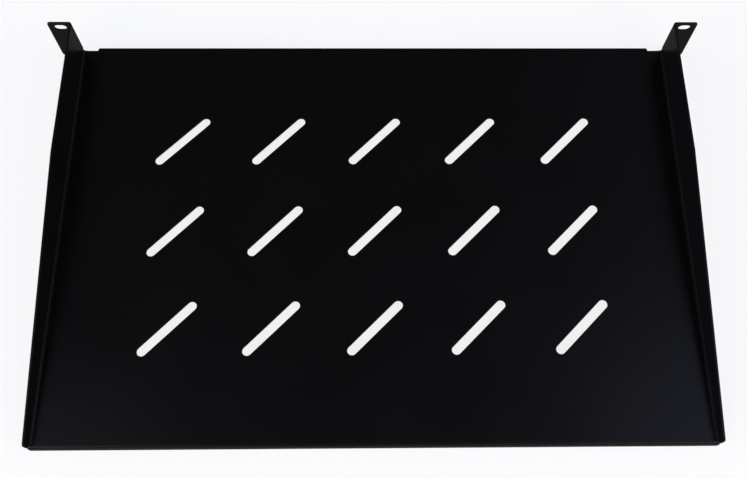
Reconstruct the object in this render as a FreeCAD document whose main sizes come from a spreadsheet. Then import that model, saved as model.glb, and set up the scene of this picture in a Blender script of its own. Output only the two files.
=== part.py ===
# Cantilever rack shelf, one unit high: a single steel sheet, cut, pierced and folded.
# Millimetres, +Z up, +X to the right and +Y to the front, where the shelf bolts to the rack.
# Inside the body the front face of the ears is Y = 0 and the lowest edges are Z = 0.
import FreeCAD, Part
import math
import os

import Sketcher
from FreeCAD import Vector

os.makedirs("parts", exist_ok=True)
doc = FreeCAD.newDocument("CantileverRackShelf")

# ---- driving dimensions ----
dimensions = [
    ("boltSpan", 465.1, "between the bolt slots of the two ears, as in every 19 inch rack"),
    ("boltPitch", 31.75, "between the two bolt slots of one ear"),
    ("boltSlotLength", 9, "bolt slot, end to end"),
    ("boltSlotWidth", 6.5, "bolt slot, side to side, for an M6 screw"),
    ("earOutward", 8.75, "centre of a bolt slot to the outer end of its ear"),
    ("earInward", 8.05, "centre of a bolt slot to the outer face of the side wall"),
    ("earMargin", 5.925, "centre of a bolt slot to the nearer level edge of its ear"),
    ("earCorner", 2, "corner radius of an ear"),
    ("depth", 302, "front face of the ears to back face of the rear lip"),
    ("deckHeight", 9, "top of the deck above the lower edges of the lips"),
    ("gauge", 1.5, "thickness of the sheet"),
    ("bendInside", 1, "inside radius of every fold"),
    ("foldLap", 5, "length of flat sheet drawn with each folded edge"),
    ("fullWall", 106, "length of side wall at full height, from the front"),
    ("rearWall", 9, "height of a side wall above the deck at its rear end"),
    ("wallCorner", 2, "corner radius at the rear end of a side wall"),
    ("frontLipInset", 12.5, "side of the shelf to the end of the front lip, at the fold"),
    ("frontLipMitre", 7, "length cut from each lower corner of the front lip"),
    ("notchSetback", 0.75, "fold of the front lip back to the edge of the corner notches"),
    ("reliefWidth", 0.8, "diameter of the bend relief in each rear corner"),
    ("cornerGap", 0.2, "across the slit between wall fold and rear lip fold, along the lip"),
    ("slotColumns", 5, "vent slots across the deck"),
    ("slotRows", 3, "vent slots from front to back"),
    ("columnPitch", 70.5, "between neighbouring slots across the deck"),
    ("rowPitch", 71, "between neighbouring slots from front to back"),
    ("slotLength", 51, "vent slot, end to end"),
    ("slotWidth", 6.5, "vent slot, side to side"),
    ("slotAngle", 45, "vent slot, degrees from the width of the deck"),
]
sheet = doc.addObject("Spreadsheet::Sheet", "dims")
for row, (alias, size, meaning) in enumerate(dimensions, start=1):
    sheet.set(f"A{row}", meaning)
    sheet.set(f"B{row}", str(size))
    sheet.setAlias(f"B{row}", alias)
doc.recompute()

# lengths that follow from the driving ones
outerBend = "(dims.bendInside + dims.gauge)"
halfRack = "(dims.boltSpan / 2 + dims.earOutward)"
halfBody = "(dims.boltSpan / 2 - dims.earInward)"
unitHeight = "(dims.boltPitch + 2 * dims.earMargin)"
wallFoot = "(dims.deckHeight + dims.bendInside)"
rearFold = f"(dims.depth - {outerBend})"

# how a sketch numbers its origin and axes, and the points of a line or an arc
origin = acrossAxis = -1
uprightAxis = acrossAxis - 1
startPoint, endPoint, centrePoint = range(1, 4)


def worth(formula):
    """The number that a formula on the sheet has now."""
    return float(sheet.evalExpression(formula))


def originPart(body, role):
    """A plane or axis of the body's own origin."""
    return next(part for part in body.Origin.OriginFeatures if part.Role == role)


def newSketch(body, name, role, offset="0"):
    """An empty sketch on an origin plane of the body, or offset from it along its normal."""
    sketch = body.newObject("Sketcher::SketchObject", name)
    sketch.AttachmentSupport = [(originPart(body, role), "")]
    sketch.MapMode = "FlatFace"
    sketch.setExpression("AttachmentOffset.Base.z", offset)
    return sketch


def join(sketch, kind, *elements):
    """A constraint without a size."""
    sketch.addConstraint(Sketcher.Constraint(kind, *elements))


def bind(sketch, kind, *elements, formula):
    """A sized constraint whose size is a formula on the sheet."""
    index = sketch.addConstraint(Sketcher.Constraint(kind, *elements, worth(formula)))
    sketch.setExpression(f"Constraints[{index}]", formula)


def placePoint(sketch, element, point, across, up):
    """Holds a point of the sketch at two formulas, or on an axis where one is 0."""
    for kind, axis, formula in (("DistanceX", uprightAxis, across), ("DistanceY", acrossAxis, up)):
        if formula == "0":
            join(sketch, "PointOnObject", element, point, axis)
        else:
            bind(sketch, kind, origin, startPoint, element, point, formula=formula)


def drawSection(sketch, runs):
    """A closed section of level and upright runs, in order round the outline.

    Each run is (direction, place, radius): a level run is placed by its height, an upright one
    by its distance across, and radius rounds the corner that joins it to the next run.
    """
    places = [worth(place) for _, place, _ in runs]
    corners = []
    for index, (direction, _, _) in enumerate(runs):
        here, following = places[index], places[(index + 1) % len(runs)]
        across, up = (following, here) if direction == "level" else (here, following)
        corners.append(Vector(across, up, 0))
    radii = [worth(radius) for _, _, radius in runs]
    starts = []
    ends = []
    for index, corner in enumerate(corners):
        before = corners[index - 1]
        along = (corner - before).normalize()
        starts.append(before + along * radii[index - 1])
        ends.append(corner - along * radii[index])
    lines = [sketch.addGeometry(Part.LineSegment(a, b)) for a, b in zip(starts, ends)]
    for index, (direction, place, radius) in enumerate(runs):
        line, following = lines[index], lines[(index + 1) % len(runs)]
        level = direction == "level"
        join(sketch, "Horizontal" if level else "Vertical", line)
        if place == "0":
            axis = acrossAxis if level else uprightAxis
            join(sketch, "PointOnObject", line, startPoint, axis)
        else:
            kind = "DistanceY" if level else "DistanceX"
            bind(sketch, kind, origin, startPoint, line, startPoint, formula=place)
        if radius == "0":
            join(sketch, "Coincident", line, endPoint, following, startPoint)
            continue
        leave, arrive = ends[index], starts[(index + 1) % len(runs)]
        middle = leave + arrive - corners[index]
        turnsLeft = (leave - middle).cross(arrive - middle).z > 0
        first, last = (leave, arrive) if turnsLeft else (arrive, leave)
        angles = [math.atan2(point.y - middle.y, point.x - middle.x) for point in (first, last)]
        circle = Part.Circle(middle, Vector(0, 0, 1), radii[index])
        arc = sketch.addGeometry(Part.ArcOfCircle(circle, *angles))
        near, far = (startPoint, endPoint) if turnsLeft else (endPoint, startPoint)
        join(sketch, "Tangent", line, endPoint, arc, near)
        join(sketch, "Tangent", arc, far, following, startPoint)
        bind(sketch, "Radius", arc, formula=radius)


def drawPolygon(sketch, corners):
    """A closed outline of straight edges through corners given as pairs of formulas."""
    points = [Vector(worth(across), worth(up), 0) for across, up in corners]
    lines = []
    for index, point in enumerate(points):
        lines.append(sketch.addGeometry(Part.LineSegment(point, points[(index + 1) % len(points)])))
    for index, (across, up) in enumerate(corners):
        placePoint(sketch, lines[index], startPoint, across, up)
        following = lines[(index + 1) % len(lines)]
        join(sketch, "Coincident", lines[index], endPoint, following, startPoint)


def drawSlot(sketch, across, up, length, width, angle="0"):
    """A slot with round ends, centred on a point and turned by an angle in degrees."""
    turn = math.radians(worth(angle))
    along = Vector(math.cos(turn), math.sin(turn), 0)
    side = Vector(-along.y, along.x, 0) * (worth(width) / 2)
    reach = along * ((worth(length) - worth(width)) / 2)
    centre = Vector(worth(across), worth(up), 0)
    near, far = centre - reach, centre + reach
    farCircle = Part.Circle(far, Vector(0, 0, 1), worth(width) / 2)
    nearCircle = Part.Circle(near, Vector(0, 0, 1), worth(width) / 2)
    quarter = math.pi / 2
    farArc = sketch.addGeometry(Part.ArcOfCircle(farCircle, turn - quarter, turn + quarter))
    nearArc = sketch.addGeometry(Part.ArcOfCircle(nearCircle, turn + quarter, turn + 3 * quarter))
    left = sketch.addGeometry(Part.LineSegment(far + side, near + side))
    right = sketch.addGeometry(Part.LineSegment(near - side, far - side))
    spine = sketch.addGeometry(Part.LineSegment(near, far), True)
    middle = sketch.addGeometry(Part.Point(centre), True)
    for pair in (
        (farArc, endPoint, left, startPoint),
        (left, endPoint, nearArc, startPoint),
        (nearArc, endPoint, right, startPoint),
        (right, endPoint, farArc, startPoint),
    ):
        join(sketch, "Tangent", *pair)
    join(sketch, "Coincident", spine, startPoint, nearArc, centrePoint)
    join(sketch, "Coincident", spine, endPoint, farArc, centrePoint)
    join(sketch, "Symmetric", spine, startPoint, spine, endPoint, middle, startPoint)
    placePoint(sketch, middle, startPoint, across, up)
    bind(sketch, "Distance", spine, formula=f"{length} - {width}")
    bind(sketch, "Diameter", farArc, formula=width)
    join(sketch, "Equal", farArc, nearArc)
    if angle == "0":
        join(sketch, "Horizontal", spine)
    else:
        index = sketch.addConstraint(Sketcher.Constraint("Angle", spine, turn))
        sketch.setExpression(f"Constraints[{index}]", f"{angle} * 1 deg")


def drawCircle(sketch, across, up, width):
    circle = Part.Circle(Vector(worth(across), worth(up), 0), Vector(0, 0, 1), worth(width) / 2)
    ring = sketch.addGeometry(circle)
    placePoint(sketch, ring, centrePoint, across, up)
    bind(sketch, "Diameter", ring, formula=width)


def pad(body, name, sketch, length, side="One side"):
    """Sheet added over a sketch."""
    feature = body.newObject("PartDesign::Pad", name)
    feature.Profile = sketch
    feature.SideType = side
    feature.setExpression("Length", length)
    feature.Refine = True
    doc.recompute()
    return feature


def cut(body, name, sketch, length, side="One side", reverse=False):
    """Sheet removed over a sketch, which has to take something away."""
    before = body.Shape.Volume
    feature = body.newObject("PartDesign::Pocket", name)
    feature.Profile = sketch
    feature.SideType = side
    feature.Reversed = reverse
    feature.setExpression("Length", length)
    feature.Refine = True
    doc.recompute()
    if not body.Shape.Volume < before:
        raise RuntimeError(f"{name} cuts nothing")
    return feature


def edgesAt(body, depthwise, height):
    """Names of the edges across the body whose ends lie at one depth and height."""
    tolerance = 1e-4
    names = []
    for index, edge in enumerate(body.Shape.Edges, start=1):
        ends = [vertex.Point for vertex in edge.Vertexes]
        if all(abs(end.y - depthwise) < tolerance and abs(end.z - height) < tolerance for end in ends):
            names.append(f"Edge{index}")
    return names


# ---- the shelf ----
shelf = doc.addObject("PartDesign::Body", "shelf")
shelf.Label = "shelf"

# deck and side walls, folded up, from the front fold to the back
tubSection = newSketch(shelf, "tubSection", "XZ_Plane", offset=outerBend)
drawSection(tubSection, [
    ("level", "dims.deckHeight - dims.gauge", outerBend),
    ("upright", halfBody, "0"),
    ("level", unitHeight, "0"),
    ("upright", f"{halfBody} - dims.gauge", "dims.bendInside"),
    ("level", "dims.deckHeight", "dims.bendInside"),
    ("upright", f"dims.gauge - {halfBody}", "0"),
    ("level", unitHeight, "0"),
    ("upright", f"-{halfBody}", outerBend),
])
pad(shelf, "tub", tubSection, f"dims.depth - {outerBend}")

# behind the full height stretch both walls taper to a low rear end
taperOutline = newSketch(shelf, "taperOutline", "YZ_Plane")
drawPolygon(taperOutline, [
    ("-dims.fullWall", unitHeight),
    ("-dims.depth", "dims.deckHeight + dims.rearWall"),
    ("-dims.depth", unitHeight),
])
wallTaper = cut(shelf, "wallTaper", taperOutline, f"2 * {halfBody}", side="Symmetric")

sharpEnds = edgesAt(shelf, -worth("dims.depth"), worth("dims.deckHeight + dims.rearWall"))
wallEnds = shelf.newObject("PartDesign::Fillet", "wallEnds")
wallEnds.Base = (wallTaper, sharpEnds)
wallEnds.setExpression("Radius", "dims.wallCorner")
doc.recompute()

# room for the rear lip: the deck stops at its fold and both wall folds end on a mitre
mitreStart = f"({halfBody} - {outerBend})"
rearMitreOutline = newSketch(shelf, "rearMitreOutline", "XY_Plane", offset=wallFoot)
drawPolygon(rearMitreOutline, [
    (f"-{mitreStart}", f"-{rearFold}"),
    (f"-{halfBody}", "-dims.depth"),
    (halfBody, "-dims.depth"),
    (mitreStart, f"-{rearFold}"),
])
cut(shelf, "rearMitres", rearMitreOutline, outerBend)

# the corner notches that part the front lip from the walls
lipEnd = f"({halfBody} - dims.frontLipInset)"
notchOutline = newSketch(shelf, "notchOutline", "XY_Plane", offset=wallFoot)
for side in ("", "-"):
    drawPolygon(notchOutline, [
        (f"{side}{lipEnd}", f"-{outerBend}"),
        (f"{side}{lipEnd}", f"-({outerBend} + dims.notchSetback)"),
        (f"{side}{halfBody}", f"-({outerBend} + dims.notchSetback)"),
        (f"{side}{halfBody}", f"-{outerBend}"),
    ])
cut(shelf, "cornerNotches", notchOutline, outerBend)

# the fold that turns the front of the right wall outwards, above the deck's own fold
earFold = newSketch(shelf, "earFold", "XY_Plane", offset=wallFoot)
drawSection(earFold, [
    ("upright", f"{halfBody} - dims.gauge", outerBend),
    ("level", "0", "0"),
    ("upright", f"{halfBody} + dims.bendInside + dims.foldLap", "0"),
    ("level", "-dims.gauge", "dims.bendInside"),
    ("upright", halfBody, "0"),
    ("level", f"-({outerBend} + dims.foldLap)", "0"),
])
earRoot = pad(shelf, "earRoot", earFold, f"{unitHeight} - {wallFoot}")

# the ear itself, full unit height, and its two bolt slots
earOutline = newSketch(shelf, "earOutline", "XZ_Plane")
drawSection(earOutline, [
    ("level", "0", "dims.earCorner"),
    ("upright", halfRack, "dims.earCorner"),
    ("level", unitHeight, "0"),
    ("upright", f"{halfBody} + dims.bendInside", "0"),
])
earPlate = pad(shelf, "earPlate", earOutline, "dims.gauge")

boltSlotOutline = newSketch(shelf, "boltSlotOutline", "XZ_Plane")
for up in (f"{unitHeight} - dims.earMargin", "dims.earMargin"):
    drawSlot(boltSlotOutline, "dims.boltSpan / 2", up, "dims.boltSlotLength", "dims.boltSlotWidth")
boltSlots = cut(shelf, "boltSlots", boltSlotOutline, "dims.gauge", reverse=True)

leftEar = shelf.newObject("PartDesign::Mirrored", "leftEar")
leftEar.Originals = [earRoot, earPlate, boltSlots]
leftEar.MirrorPlane = (originPart(shelf, "YZ_Plane"), [""])
shelf.Tip = leftEar
doc.recompute()

# the front lip, folded down between the corner notches, with its lower corners cut away
frontLipSection = newSketch(shelf, "frontLipSection", "YZ_Plane")
drawSection(frontLipSection, [
    ("level", "dims.deckHeight", outerBend),
    ("upright", "0", "0"),
    ("level", "0", "0"),
    ("upright", "-dims.gauge", "dims.bendInside"),
    ("level", "dims.deckHeight - dims.gauge", "0"),
    ("upright", f"-({outerBend} + dims.foldLap)", "0"),
])
pad(shelf, "frontLip", frontLipSection, f"2 * {lipEnd}", side="Symmetric")

mitreOutline = newSketch(shelf, "mitreOutline", "XZ_Plane")
for side in ("", "-"):
    drawPolygon(mitreOutline, [
        (f"{side}{lipEnd}", "dims.deckHeight"),
        (f"{side}{lipEnd}", "0"),
        (f"{side}({lipEnd} - dims.frontLipMitre)", "0"),
    ])
cut(shelf, "frontLipMitres", mitreOutline, outerBend, reverse=True)

# the rear lip, folded down, whose fold ends on the same mitre short of the wall fold
mitrePlane = shelf.newObject("PartDesign::Plane", "mitrePlane")
mitrePlane.AttachmentSupport = [(originPart(shelf, "XZ_Plane"), "")]
mitrePlane.MapMode = "FlatFace"
mitrePlane.AttachmentOffset = FreeCAD.Placement(Vector(), FreeCAD.Rotation(Vector(0, 1, 0), -45))
mitrePlane.setExpression("AttachmentOffset.Base.x", f"{mitreStart} - dims.cornerGap")
mitrePlane.setExpression("AttachmentOffset.Base.z", rearFold)

rearLipSection = newSketch(shelf, "rearLipSection", "YZ_Plane")
drawSection(rearLipSection, [
    ("level", "dims.deckHeight", outerBend),
    ("upright", "-dims.depth", "0"),
    ("level", "0", "0"),
    ("upright", "dims.gauge - dims.depth", "dims.bendInside"),
    ("level", "dims.deckHeight - dims.gauge", "0"),
    ("upright", f"dims.foldLap - {rearFold}", "0"),
])
rearLip = shelf.newObject("PartDesign::Pad", "rearLip")
rearLip.Profile = rearLipSection
rearLip.Type = "UpToFace"
rearLip.UpToFace = (mitrePlane, [""])
rearLip.Refine = True
doc.recompute()

leftRearLip = shelf.newObject("PartDesign::Mirrored", "leftRearLip")
leftRearLip.Originals = [rearLip]
leftRearLip.MirrorPlane = (originPart(shelf, "YZ_Plane"), [""])
shelf.Tip = leftRearLip
doc.recompute()

# the flat part of the rear lip is as wide as the body
rearLipOutline = newSketch(shelf, "rearLipOutline", "XZ_Plane", offset="dims.depth - dims.gauge")
drawSection(rearLipOutline, [
    ("level", "0", "0"),
    ("upright", halfBody, "0"),
    ("level", f"dims.deckHeight - {outerBend}", "0"),
    ("upright", f"-{halfBody}", "0"),
])
pad(shelf, "rearLipEnds", rearLipOutline, "dims.gauge")

# round bend reliefs where the rear fold meets the two wall folds
reliefOutline = newSketch(shelf, "reliefOutline", "XY_Plane", offset=wallFoot)
for side in ("", "-"):
    drawCircle(reliefOutline, f"{side}{mitreStart}", f"-{rearFold}", "dims.reliefWidth")
cut(shelf, "bendReliefs", reliefOutline, f"dims.bendInside + {outerBend}")

# vent slots, one pierced and the rest repeated, centred between the deck's front edge and the back
ventOutline = newSketch(shelf, "ventOutline", "XY_Plane", offset="dims.deckHeight")
drawSlot(
    ventOutline,
    "-(dims.slotColumns - 1) * dims.columnPitch / 2",
    f"-(dims.depth + {outerBend} + (dims.slotRows - 1) * dims.rowPitch) / 2",
    "dims.slotLength",
    "dims.slotWidth",
    "dims.slotAngle",
)
ventSlot = cut(shelf, "ventSlot", ventOutline, "dims.gauge")

ventSlots = shelf.newObject("PartDesign::LinearPattern", "ventSlots")
ventSlots.Originals = [ventSlot]
ventSlots.Direction = (originPart(shelf, "X_Axis"), [""])
ventSlots.Direction2 = (originPart(shelf, "Y_Axis"), [""])
ventSlots.Mode = "Spacing"
ventSlots.Mode2 = "Spacing"
ventSlots.setExpression("Offset", "dims.columnPitch")
ventSlots.setExpression("Offset2", "dims.rowPitch")
ventSlots.setExpression("Occurrences", "dims.slotColumns")
ventSlots.setExpression("Occurrences2", "dims.slotRows")
ventSlots.Spacings2 = [-1]  # every step between rows follows the row pitch
shelf.Tip = ventSlots

# the shelf stands on its lips, with the middle of its footprint at the origin
shelf.setExpression("Placement.Base.y", "dims.depth / 2")
doc.recompute()

for item in doc.Objects:
    if "Invalid" in item.State or "Error" in item.State:
        raise RuntimeError(f"{item.Name} failed")
    if item.TypeId == "Sketcher::SketchObject" and not item.FullyConstrained:
        raise RuntimeError(f"{item.Name} is not fully constrained")
if shelf.Shape.isNull() or not shelf.Shape.isValid() or len(shelf.Shape.Solids) != 1:
    raise RuntimeError("the shelf is not one valid solid")
shelf.Shape.exportStep(f"parts/{shelf.Label}.step")
print(f"{shelf.Label}: {shelf.Shape.Volume:.0f} mm3, {len(shelf.Shape.Faces)} faces")
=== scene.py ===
import math

import bpy
from mathutils import Matrix, Vector


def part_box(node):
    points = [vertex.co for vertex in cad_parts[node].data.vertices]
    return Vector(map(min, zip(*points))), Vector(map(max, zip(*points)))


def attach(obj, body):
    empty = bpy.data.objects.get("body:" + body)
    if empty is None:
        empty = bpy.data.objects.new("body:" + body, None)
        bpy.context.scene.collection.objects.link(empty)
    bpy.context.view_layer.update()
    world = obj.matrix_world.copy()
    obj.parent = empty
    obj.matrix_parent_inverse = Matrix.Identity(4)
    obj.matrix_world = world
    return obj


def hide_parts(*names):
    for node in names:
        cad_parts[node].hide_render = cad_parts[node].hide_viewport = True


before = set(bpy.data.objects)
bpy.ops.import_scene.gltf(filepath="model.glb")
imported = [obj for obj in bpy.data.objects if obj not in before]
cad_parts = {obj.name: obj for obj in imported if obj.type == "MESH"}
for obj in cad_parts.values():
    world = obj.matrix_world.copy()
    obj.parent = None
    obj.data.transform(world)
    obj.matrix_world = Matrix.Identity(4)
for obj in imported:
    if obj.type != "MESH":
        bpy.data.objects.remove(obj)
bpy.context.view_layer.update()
low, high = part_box("shelf")
millimetre = 0.001
print("frame loaded, shelf", [round(side / millimetre, 1) for side in high - low], "mm")


def linearColour(code):  # a shader wants linear values, the hex codes are sRGB
    channels = [int(code[place:place + 2], 16) / 255 for place in (0, 2, 4)]
    return [c / 12.92 if c <= 0.04045 else ((c + 0.055) / 1.055) ** 2.4 for c in channels] + [1]


def addNode(tree, kind, settings=None, links=None):  # a socket goes by name or number, a property by name
    node = tree.nodes.new(kind)
    for name, value in (settings or {}).items():
        if isinstance(name, int) or name in node.inputs:
            node.inputs[name].default_value = value
        else:
            setattr(node, name, value)
    for name, source in (links or {}).items():
        tree.links.new(source, node.inputs[name])
    return node


def emptyTree(owner):
    owner.use_nodes = True
    owner.node_tree.nodes.clear()
    return owner.node_tree


def selectOnly(item):
    bpy.ops.object.select_all(action="DESELECT")
    item.select_set(True)
    bpy.context.view_layer.objects.active = item


# satin black polyester powder coat, sprayed dry and baked: deep black, a soft broad sheen,
# a fine even grain from the melted powder and a slow orange peel under it
powderCoat = {
    "deep": "080808",
    "pale": "090909",
    "roughness": (0.25, 0.31),
    "ior": 1.5,
    "specular": 1.0,
    "glossShare": 0.08,  # of a smooth lacquer's reflection, the grain scatters the rest
    "grainSize": 0.9,  # mm between the bumps, drawn coarser than the real 0.3 mm so that it shows
    "grainHeight": 0.03,  # mm
    "peelSize": 5,  # mm between the waves of the orange peel
    "peelHeight": 0.012,  # mm
    "cloudSize": 70,  # mm, uneven film thickness
    "cloudRange": (0.3, 0.7),  # the clouds seldom leave it
}


def makePowderCoat():
    coat = bpy.data.materials.new("satin black powder coat")
    tree = emptyTree(coat)
    place = addNode(tree, "ShaderNodeTexCoord").outputs["Object"]
    clouds = addNode(
        tree,
        "ShaderNodeTexNoise",
        {"Scale": 1 / (powderCoat["cloudSize"] * millimetre), "Detail": 2},
        {"Vector": place},
    )
    grain = addNode(
        tree,
        "ShaderNodeTexNoise",
        {"Scale": 1 / (powderCoat["grainSize"] * millimetre), "Detail": 2, "Roughness": 0.6},
        {"Vector": place},
    )
    peel = addNode(
        tree,
        "ShaderNodeTexNoise",
        {"Scale": 1 / (powderCoat["peelSize"] * millimetre), "Detail": 1},
        {"Vector": place},
    )
    deep, pale = linearColour(powderCoat["deep"]), linearColour(powderCoat["pale"])
    colour = addNode(
        tree,
        "ShaderNodeMix",
        {"data_type": "RGBA", 6: deep, 7: pale},  # 6 and 7 are the two colours
        {"Factor": clouds.outputs["Fac"]},
    )
    thin, thick = powderCoat["cloudRange"]
    smooth, rough = powderCoat["roughness"]
    roughness = addNode(
        tree,
        "ShaderNodeMapRange",
        {"From Min": thin, "From Max": thick, "To Min": smooth, "To Max": rough},
        {"Value": clouds.outputs["Fac"]},
    )
    waves = addNode(
        tree,
        "ShaderNodeBump",
        {"Distance": powderCoat["peelHeight"] * millimetre},
        {"Height": peel.outputs["Fac"]},
    )
    surface = addNode(
        tree,
        "ShaderNodeBump",
        {"Distance": powderCoat["grainHeight"] * millimetre},
        {"Height": grain.outputs["Fac"], "Normal": waves.outputs["Normal"]},
    )
    looks = {"Roughness": roughness.outputs["Result"], "Normal": surface.outputs["Normal"]}
    smoothLacquer = addNode(
        tree,
        "ShaderNodeBsdfPrincipled",
        {"IOR": powderCoat["ior"], "Specular IOR Level": powderCoat["specular"]},
        {"Base Color": colour.outputs[2], **looks},  # 2 is the colour result
    )
    openGrain = addNode(
        tree,
        "ShaderNodeBsdfDiffuse",
        links={"Color": colour.outputs[2], "Normal": surface.outputs["Normal"]},
    )
    both = addNode(
        tree,
        "ShaderNodeMixShader",
        {0: powderCoat["glossShare"]},
        {1: openGrain.outputs["BSDF"], 2: smoothLacquer.outputs["BSDF"]},
    )
    addNode(tree, "ShaderNodeOutputMaterial", links={"Surface": both.outputs["Shader"]})
    return coat


# the folded sheet with its coat, lengths in mm and angles in degrees
coatedSheet = {
    "insideWall": 223,  # from the middle to the inner face of a side wall
    "deck": 9,  # from the lower edge of a lip to the top of the deck
    "outerBend": 2.5,  # the outside radius of a fold
    "notch": 3.25,  # from the front to the rear edge of a corner notch
    "sameCorner": 0.001,  # corners that lie nearer than this are one
    "flatAngle": 0.5,  # faces that turn less than this are one flat face
    "cutAngle": 40,  # an edge that turns more is a cut one, less is a fold
    "edgeRadius": 0.3,  # the powder coat rounds every cut edge
    "edgeSegments": 2,
    "smoothAngle": 50,  # an edge that turns less is shaded as a curve
    # a thin lens of the black coat closes the narrow bend relief in each rear corner: painted shade in place
    # of the shadow under the shelf that would show through it
    "lensRadius": 0.5,
    "lensFlatness": 0.4,
    "lensInward": 1,  # from the inner face of the wall
    "lensSink": 0.7,  # under the top of the deck
    "lensSegments": 16,
    "lensRings": 8,
    # the foot of each side wall, where the sheet is folded round a wider tool
    "footRadius": 3,  # twice the thickness of the sheet
    "footSink": 0.3,  # into the sheet
    "footSteps": 8,
    "footHollow": 0.0625,  # bevel profile, a quarter circle that runs out on the deck and on the wall
}


def joinTo(sheet, addition):
    selectOnly(sheet)
    addition.select_set(True)
    bpy.ops.object.join()


# each lens is a plug of painted shade, a dark coat where the open relief would show only the shadow beneath
def plugReliefsWithShade(sheet):
    across = (coatedSheet["insideWall"] - coatedSheet["lensInward"]) * millimetre
    rear = low.y + coatedSheet["outerBend"] * millimetre
    up = low.z + (coatedSheet["deck"] - coatedSheet["lensSink"]) * millimetre
    for side in (-1, 1):
        bpy.ops.object.select_all(action="DESELECT")
        bpy.ops.mesh.primitive_uv_sphere_add(
            segments=coatedSheet["lensSegments"],
            ring_count=coatedSheet["lensRings"],
            radius=coatedSheet["lensRadius"] * millimetre,
            location=(side * across, rear, up),
        )
        lens = bpy.context.object
        bpy.ops.object.mode_set(mode="EDIT")
        bpy.ops.transform.resize(value=(1, 1, coatedSheet["lensFlatness"]))
        bpy.ops.object.mode_set(mode="OBJECT")
        joinTo(sheet, lens)
    print("bend reliefs bridged")


def roundWallFeet(sheet):
    radius, sink = coatedSheet["footRadius"], coatedSheet["footSink"]
    width = (radius + sink) * millimetre
    rear = low.y + coatedSheet["outerBend"] * millimetre
    front = high.y - coatedSheet["notch"] * millimetre
    across = (coatedSheet["insideWall"] + (sink - radius) / 2) * millimetre
    up = low.z + (coatedSheet["deck"] + (radius - sink) / 2) * millimetre
    for side in (-1, 1):
        bpy.ops.object.select_all(action="DESELECT")
        bpy.ops.mesh.primitive_cube_add(size=width, location=(side * across, (rear + front) / 2, up))
        bar = bpy.context.object
        bpy.ops.object.mode_set(mode="EDIT")
        bpy.ops.transform.resize(value=(1, (front - rear) / width, 1))
        bpy.ops.mesh.select_mode(type="EDGE")
        bpy.ops.mesh.select_all(action="DESELECT")
        bpy.ops.object.mode_set(mode="OBJECT")
        corners = bar.data.vertices
        for edge in bar.data.edges:  # the upper edge towards the middle of the deck is hollowed out
            ends = [corners[number].co for number in edge.vertices]
            edge.select = all(end.x * side < 0 < end.z for end in ends)
        bpy.ops.object.mode_set(mode="EDIT")
        bpy.ops.mesh.bevel(
            offset=radius * millimetre,
            segments=coatedSheet["footSteps"],
            profile=coatedSheet["footHollow"],
            clamp_overlap=False,
        )
        bpy.ops.object.mode_set(mode="OBJECT")
        joinTo(sheet, bar)
    print("wall feet rounded")


def makeCoatedSheet():
    sheet = bpy.data.objects.new("coated_sheet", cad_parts["shelf"].data.copy())
    bpy.context.scene.collection.objects.link(sheet)
    selectOnly(sheet)
    bpy.ops.mesh.customdata_custom_splitnormals_clear()
    bpy.ops.object.mode_set(mode="EDIT")
    bpy.ops.mesh.select_all(action="SELECT")
    bpy.ops.mesh.remove_doubles(threshold=coatedSheet["sameCorner"] * millimetre)
    bpy.ops.mesh.dissolve_limited(angle_limit=math.radians(coatedSheet["flatAngle"]))
    bpy.ops.object.mode_set(mode="OBJECT")

    rounding = sheet.modifiers.new("edges", "BEVEL")
    rounding.width = coatedSheet["edgeRadius"] * millimetre
    rounding.segments = coatedSheet["edgeSegments"]
    rounding.limit_method = "ANGLE"
    rounding.angle_limit = math.radians(coatedSheet["cutAngle"])
    rounding.use_clamp_overlap = False
    bpy.ops.object.modifier_apply(modifier=rounding.name)

    plugReliefsWithShade(sheet)
    roundWallFeet(sheet)
    bpy.ops.object.shade_smooth_by_angle(angle=math.radians(coatedSheet["smoothAngle"]))
    shading = sheet.modifiers.new("shading", "WEIGHTED_NORMAL")
    shading.keep_sharp = True
    bpy.ops.object.modifier_apply(modifier=shading.name)

    sheet.data.materials.clear()
    sheet.data.materials.append(makePowderCoat())
    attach(sheet, "root")
    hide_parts("shelf")
    print("coated sheet", len(sheet.data.polygons), "faces")


makeCoatedSheet()

# the pale sweep: a round floor that turns up into a low wall
sweep = {
    "colour": "f9f9f9",
    "glow": 0.88,  # share of the colour that the eye sees without shade
    "floorRadius": 3,  # m
    "coveRadius": 0.6,  # m
    "wallHeight": 1.2,  # m
    "sides": 96,
    "steps": 12,
    "clearance": 0.05,  # mm under the lowest edges of the shelf
}


# matt white paper, uncoated: it shines nowhere, and seen directly or mirrored it is an even white
def makePaleSurface():
    paper = bpy.data.materials.new("matt white paper")
    tree = emptyTree(paper)
    colour = linearColour(sweep["colour"])
    ray = addNode(tree, "ShaderNodeLightPath").outputs
    direct = addNode(
        tree,
        "ShaderNodeMath",
        {"operation": "MAXIMUM"},
        {0: ray["Is Camera Ray"], 1: ray["Is Glossy Ray"]},
    )
    seen = addNode(
        tree,
        "ShaderNodeMath",
        {"operation": "MAXIMUM"},
        {0: direct.outputs["Value"], 1: ray["Is Transmission Ray"]},
    )
    share = addNode(
        tree,
        "ShaderNodeMath",
        {"operation": "MULTIPLY", 1: sweep["glow"]},
        {0: seen.outputs["Value"]},
    )
    shade = addNode(tree, "ShaderNodeBsdfDiffuse", {"Color": colour})
    glow = addNode(tree, "ShaderNodeEmission", {"Color": colour, "Strength": 1})
    both = addNode(
        tree,
        "ShaderNodeMixShader",
        links={0: share.outputs["Value"], 1: shade.outputs["BSDF"], 2: glow.outputs["Emission"]},
    )
    addNode(tree, "ShaderNodeOutputMaterial", links={"Surface": both.outputs["Shader"]})
    return paper


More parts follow.
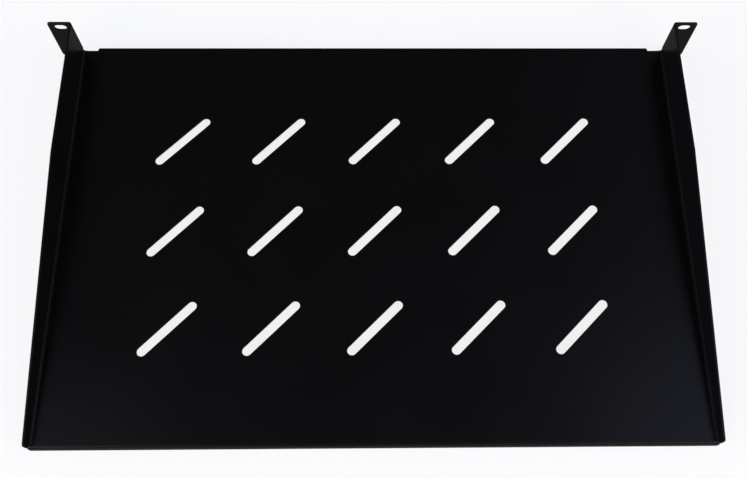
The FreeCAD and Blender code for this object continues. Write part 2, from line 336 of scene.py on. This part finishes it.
def makeSweep():
    bpy.ops.object.select_all(action="DESELECT")
    bpy.ops.mesh.primitive_circle_add(
        vertices=sweep["sides"],
        radius=sweep["floorRadius"],
        fill_type="NGON",
        location=(0, 0, low.z - sweep["clearance"] * millimetre),
    )
    floor = bpy.context.object
    floor.name = "sweep"
    bpy.ops.object.mode_set(mode="EDIT")
    bpy.ops.mesh.select_all(action="SELECT")
    bpy.ops.mesh.region_to_loop()
    turn = math.radians(90) / sweep["steps"]
    for step in range(sweep["steps"]):  # the cove, one narrow ring after another
        rise = sweep["coveRadius"] * (math.cos(turn * step) - math.cos(turn * (step + 1)))
        before = sweep["floorRadius"] + sweep["coveRadius"] * math.sin(turn * step)
        after = sweep["floorRadius"] + sweep["coveRadius"] * math.sin(turn * (step + 1))
        bpy.ops.mesh.extrude_edges_move(TRANSFORM_OT_translate={"value": (0, 0, rise)})
        bpy.ops.transform.resize(value=(after / before, after / before, 1))
    bpy.ops.mesh.extrude_edges_move(TRANSFORM_OT_translate={"value": (0, 0, sweep["wallHeight"])})
    bpy.ops.object.mode_set(mode="OBJECT")
    bpy.ops.object.shade_smooth()
    floor.data.materials.append(makePaleSurface())
    print("sweep", len(floor.data.polygons), "faces")


makeSweep()

# two keys behind, a little warm, light the deck evenly, two low fills beside it light the walls
# with no highlight, and faint panels overhead give the deck its sheen towards the rear corners,
# both a little cool; places and sizes in m, power in W
softBoxes = {
    "key right": {"place": (1.4, -1.7, 0.9), "size": (1.6, 1.2), "power": 34, "colour": "fff9ee"},
    "key left": {"place": (-1.4, -1.7, 0.9), "size": (1.6, 1.2), "power": 36, "colour": "fff9ee"},
    "fill right": {"place": (2.1, -0.1, 0.45), "size": (1.6, 0.6), "power": 27, "colour": "e0e7ff"},
    "fill left": {"place": (-2.1, -0.1, 0.45), "size": (1.6, 0.6), "power": 58, "colour": "d0d9ff"},
    "panel right": {"place": (0.97, -0.26, 1.4), "size": (0.9, 1.05), "power": 11.4, "colour": "d4dbff"},
    "panel left": {"place": (-0.97, -0.36, 1.4), "size": (0.9, 1.05), "power": 7.6, "colour": "e6ebff"},
    "panel far right": {"place": (1.0, 0.8, 1.4), "size": (0.9, 1.0), "power": 1.9, "colour": "e6ebff"},
    "panel far left": {"place": (-1.0, 1.0, 1.4), "size": (0.9, 1.0), "power": 1.0, "colour": "e6ebff"},
    "panel near": {"place": (0, -0.35, 1.4), "size": (1.0, 0.7), "power": 1.2, "colour": "e6ebff"},
}
roomColour = "303030"  # the room itself is dim


def makeLights():
    for name, box in softBoxes.items():
        bpy.ops.object.light_add(type="AREA", location=box["place"])
        lamp = bpy.context.object
        lamp.name = name
        lamp.data.shape = "RECTANGLE"
        lamp.data.size, lamp.data.size_y = box["size"]
        lamp.data.energy = box["power"]
        lamp.data.color = linearColour(box["colour"])[:3]
        lamp.visible_glossy = not name.startswith("fill")
        if not name.startswith("panel"):  # a panel faces straight down, the others face the shelf
            lamp.rotation_euler = (-Vector(box["place"])).to_track_quat("-Z", "Y").to_euler()
    room = bpy.data.worlds.new("dim room")
    tree = emptyTree(room)
    background = addNode(tree, "ShaderNodeBackground", {"Color": linearColour(roomColour), "Strength": 1})
    addNode(tree, "ShaderNodeOutputWorld", links={"Surface": background.outputs["Background"]})
    bpy.context.scene.world = room
    print("lights", list(softBoxes))


makeLights()

# the camera stands behind the shelf and looks down on it towards the ears
viewpoint = {
    "fromEars": Vector((-0.0029, -0.4065, 0.6412)),  # m, from the middle of the ears' front face, deck level
    "tilt": 24.37,  # degrees from straight down
    "swing": -2.47,  # degrees
    "roll": -2.11,  # degrees
    "focal": 46.771,  # mm
    "sensor": 36,  # mm wide
    "shift": (-0.018717, -0.07353),
    "nearest": 0.01,  # m
}


def makeCamera():
    bpy.ops.object.camera_add()
    camera = bpy.context.object
    camera.name = "camera"
    ears = Vector((0, high.y, low.z + coatedSheet["deck"] * millimetre))
    camera.location = ears + viewpoint["fromEars"]
    swing = Matrix.Rotation(math.radians(viewpoint["swing"]), 3, "Z")
    tilt = Matrix.Rotation(math.radians(viewpoint["tilt"]), 3, "X")
    roll = Matrix.Rotation(-math.radians(viewpoint["roll"]), 3, "Z")
    camera.rotation_euler = (swing @ tilt @ roll).to_euler()
    camera.data.sensor_width = viewpoint["sensor"]
    camera.data.lens = viewpoint["focal"]
    camera.data.shift_x, camera.data.shift_y = viewpoint["shift"]
    camera.data.clip_start = viewpoint["nearest"]
    bpy.context.scene.camera = camera
    print("camera at", [round(value, 3) for value in camera.location])


makeCamera()
bpy.context.scene.view_settings.view_transform = "Standard"
